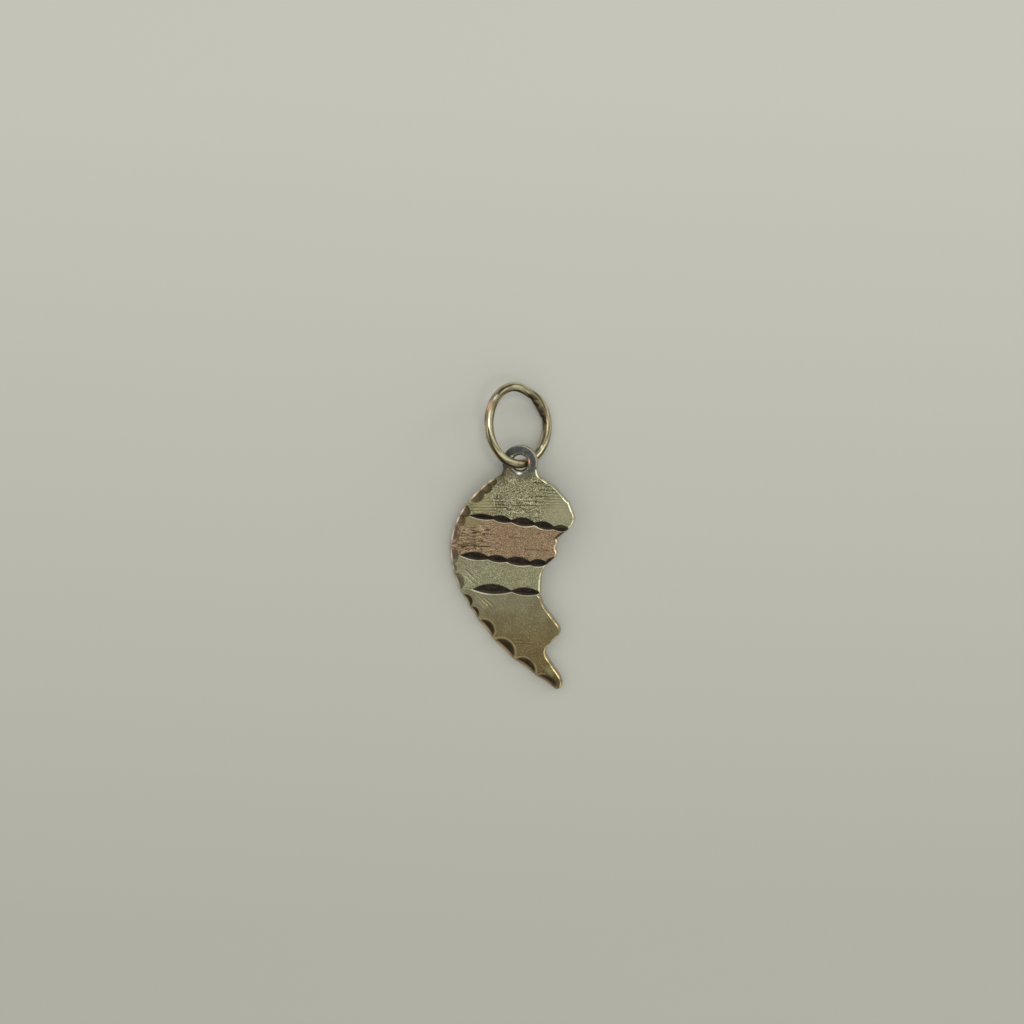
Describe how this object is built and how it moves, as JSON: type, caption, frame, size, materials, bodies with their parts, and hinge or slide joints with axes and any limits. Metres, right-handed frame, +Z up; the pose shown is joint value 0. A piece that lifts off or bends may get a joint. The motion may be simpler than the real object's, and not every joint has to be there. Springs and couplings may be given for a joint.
{
  "type": "pendant",
  "caption": "Half-heart pendant of coloured gold panels brazed to a back plate, with cut seams, a scooped curved edge, an eye and a loose jump ring.",
  "frame": {"origin": "under the middle of the object's box, on the surface it lies on", "axes": "+Z up from the surface, +Y from the point of the heart to the jump ring, +X towards the broken edge"},
  "size_m": [0.011, 0.0272, 0.0053],
  "materials": {
    "back_metal": "worn satin, darkened in the hollows",
    "green_gold_top": "matt engraved",
    "rose_gold": "matt engraved",
    "green_gold_low": "matt",
    "yellow_gold": "satin",
    "ring_wire": "worn polish",
    "ring_solder": "dull"
  },
  "bodies": {
    "half_heart": {"back_plate": "back_metal", "upper_green_gold_panel": "green_gold_top", "rose_gold_panel": "rose_gold", "lower_green_gold_panel": "green_gold_low", "yellow_gold_panel": "yellow_gold"},
    "ring": {"jump_ring": "ring_wire", "jump_ring_solder": "ring_solder"}
  },
  "joints": [
    {"name": "ring_turn", "type": "hinge", "parent": "half_heart", "child": "ring", "pos_m": [0.00068, 0.00646, 0.00267], "axis": [-0.0478, 0.9989, 0], "range_deg": [0, 78]}
  ]
}
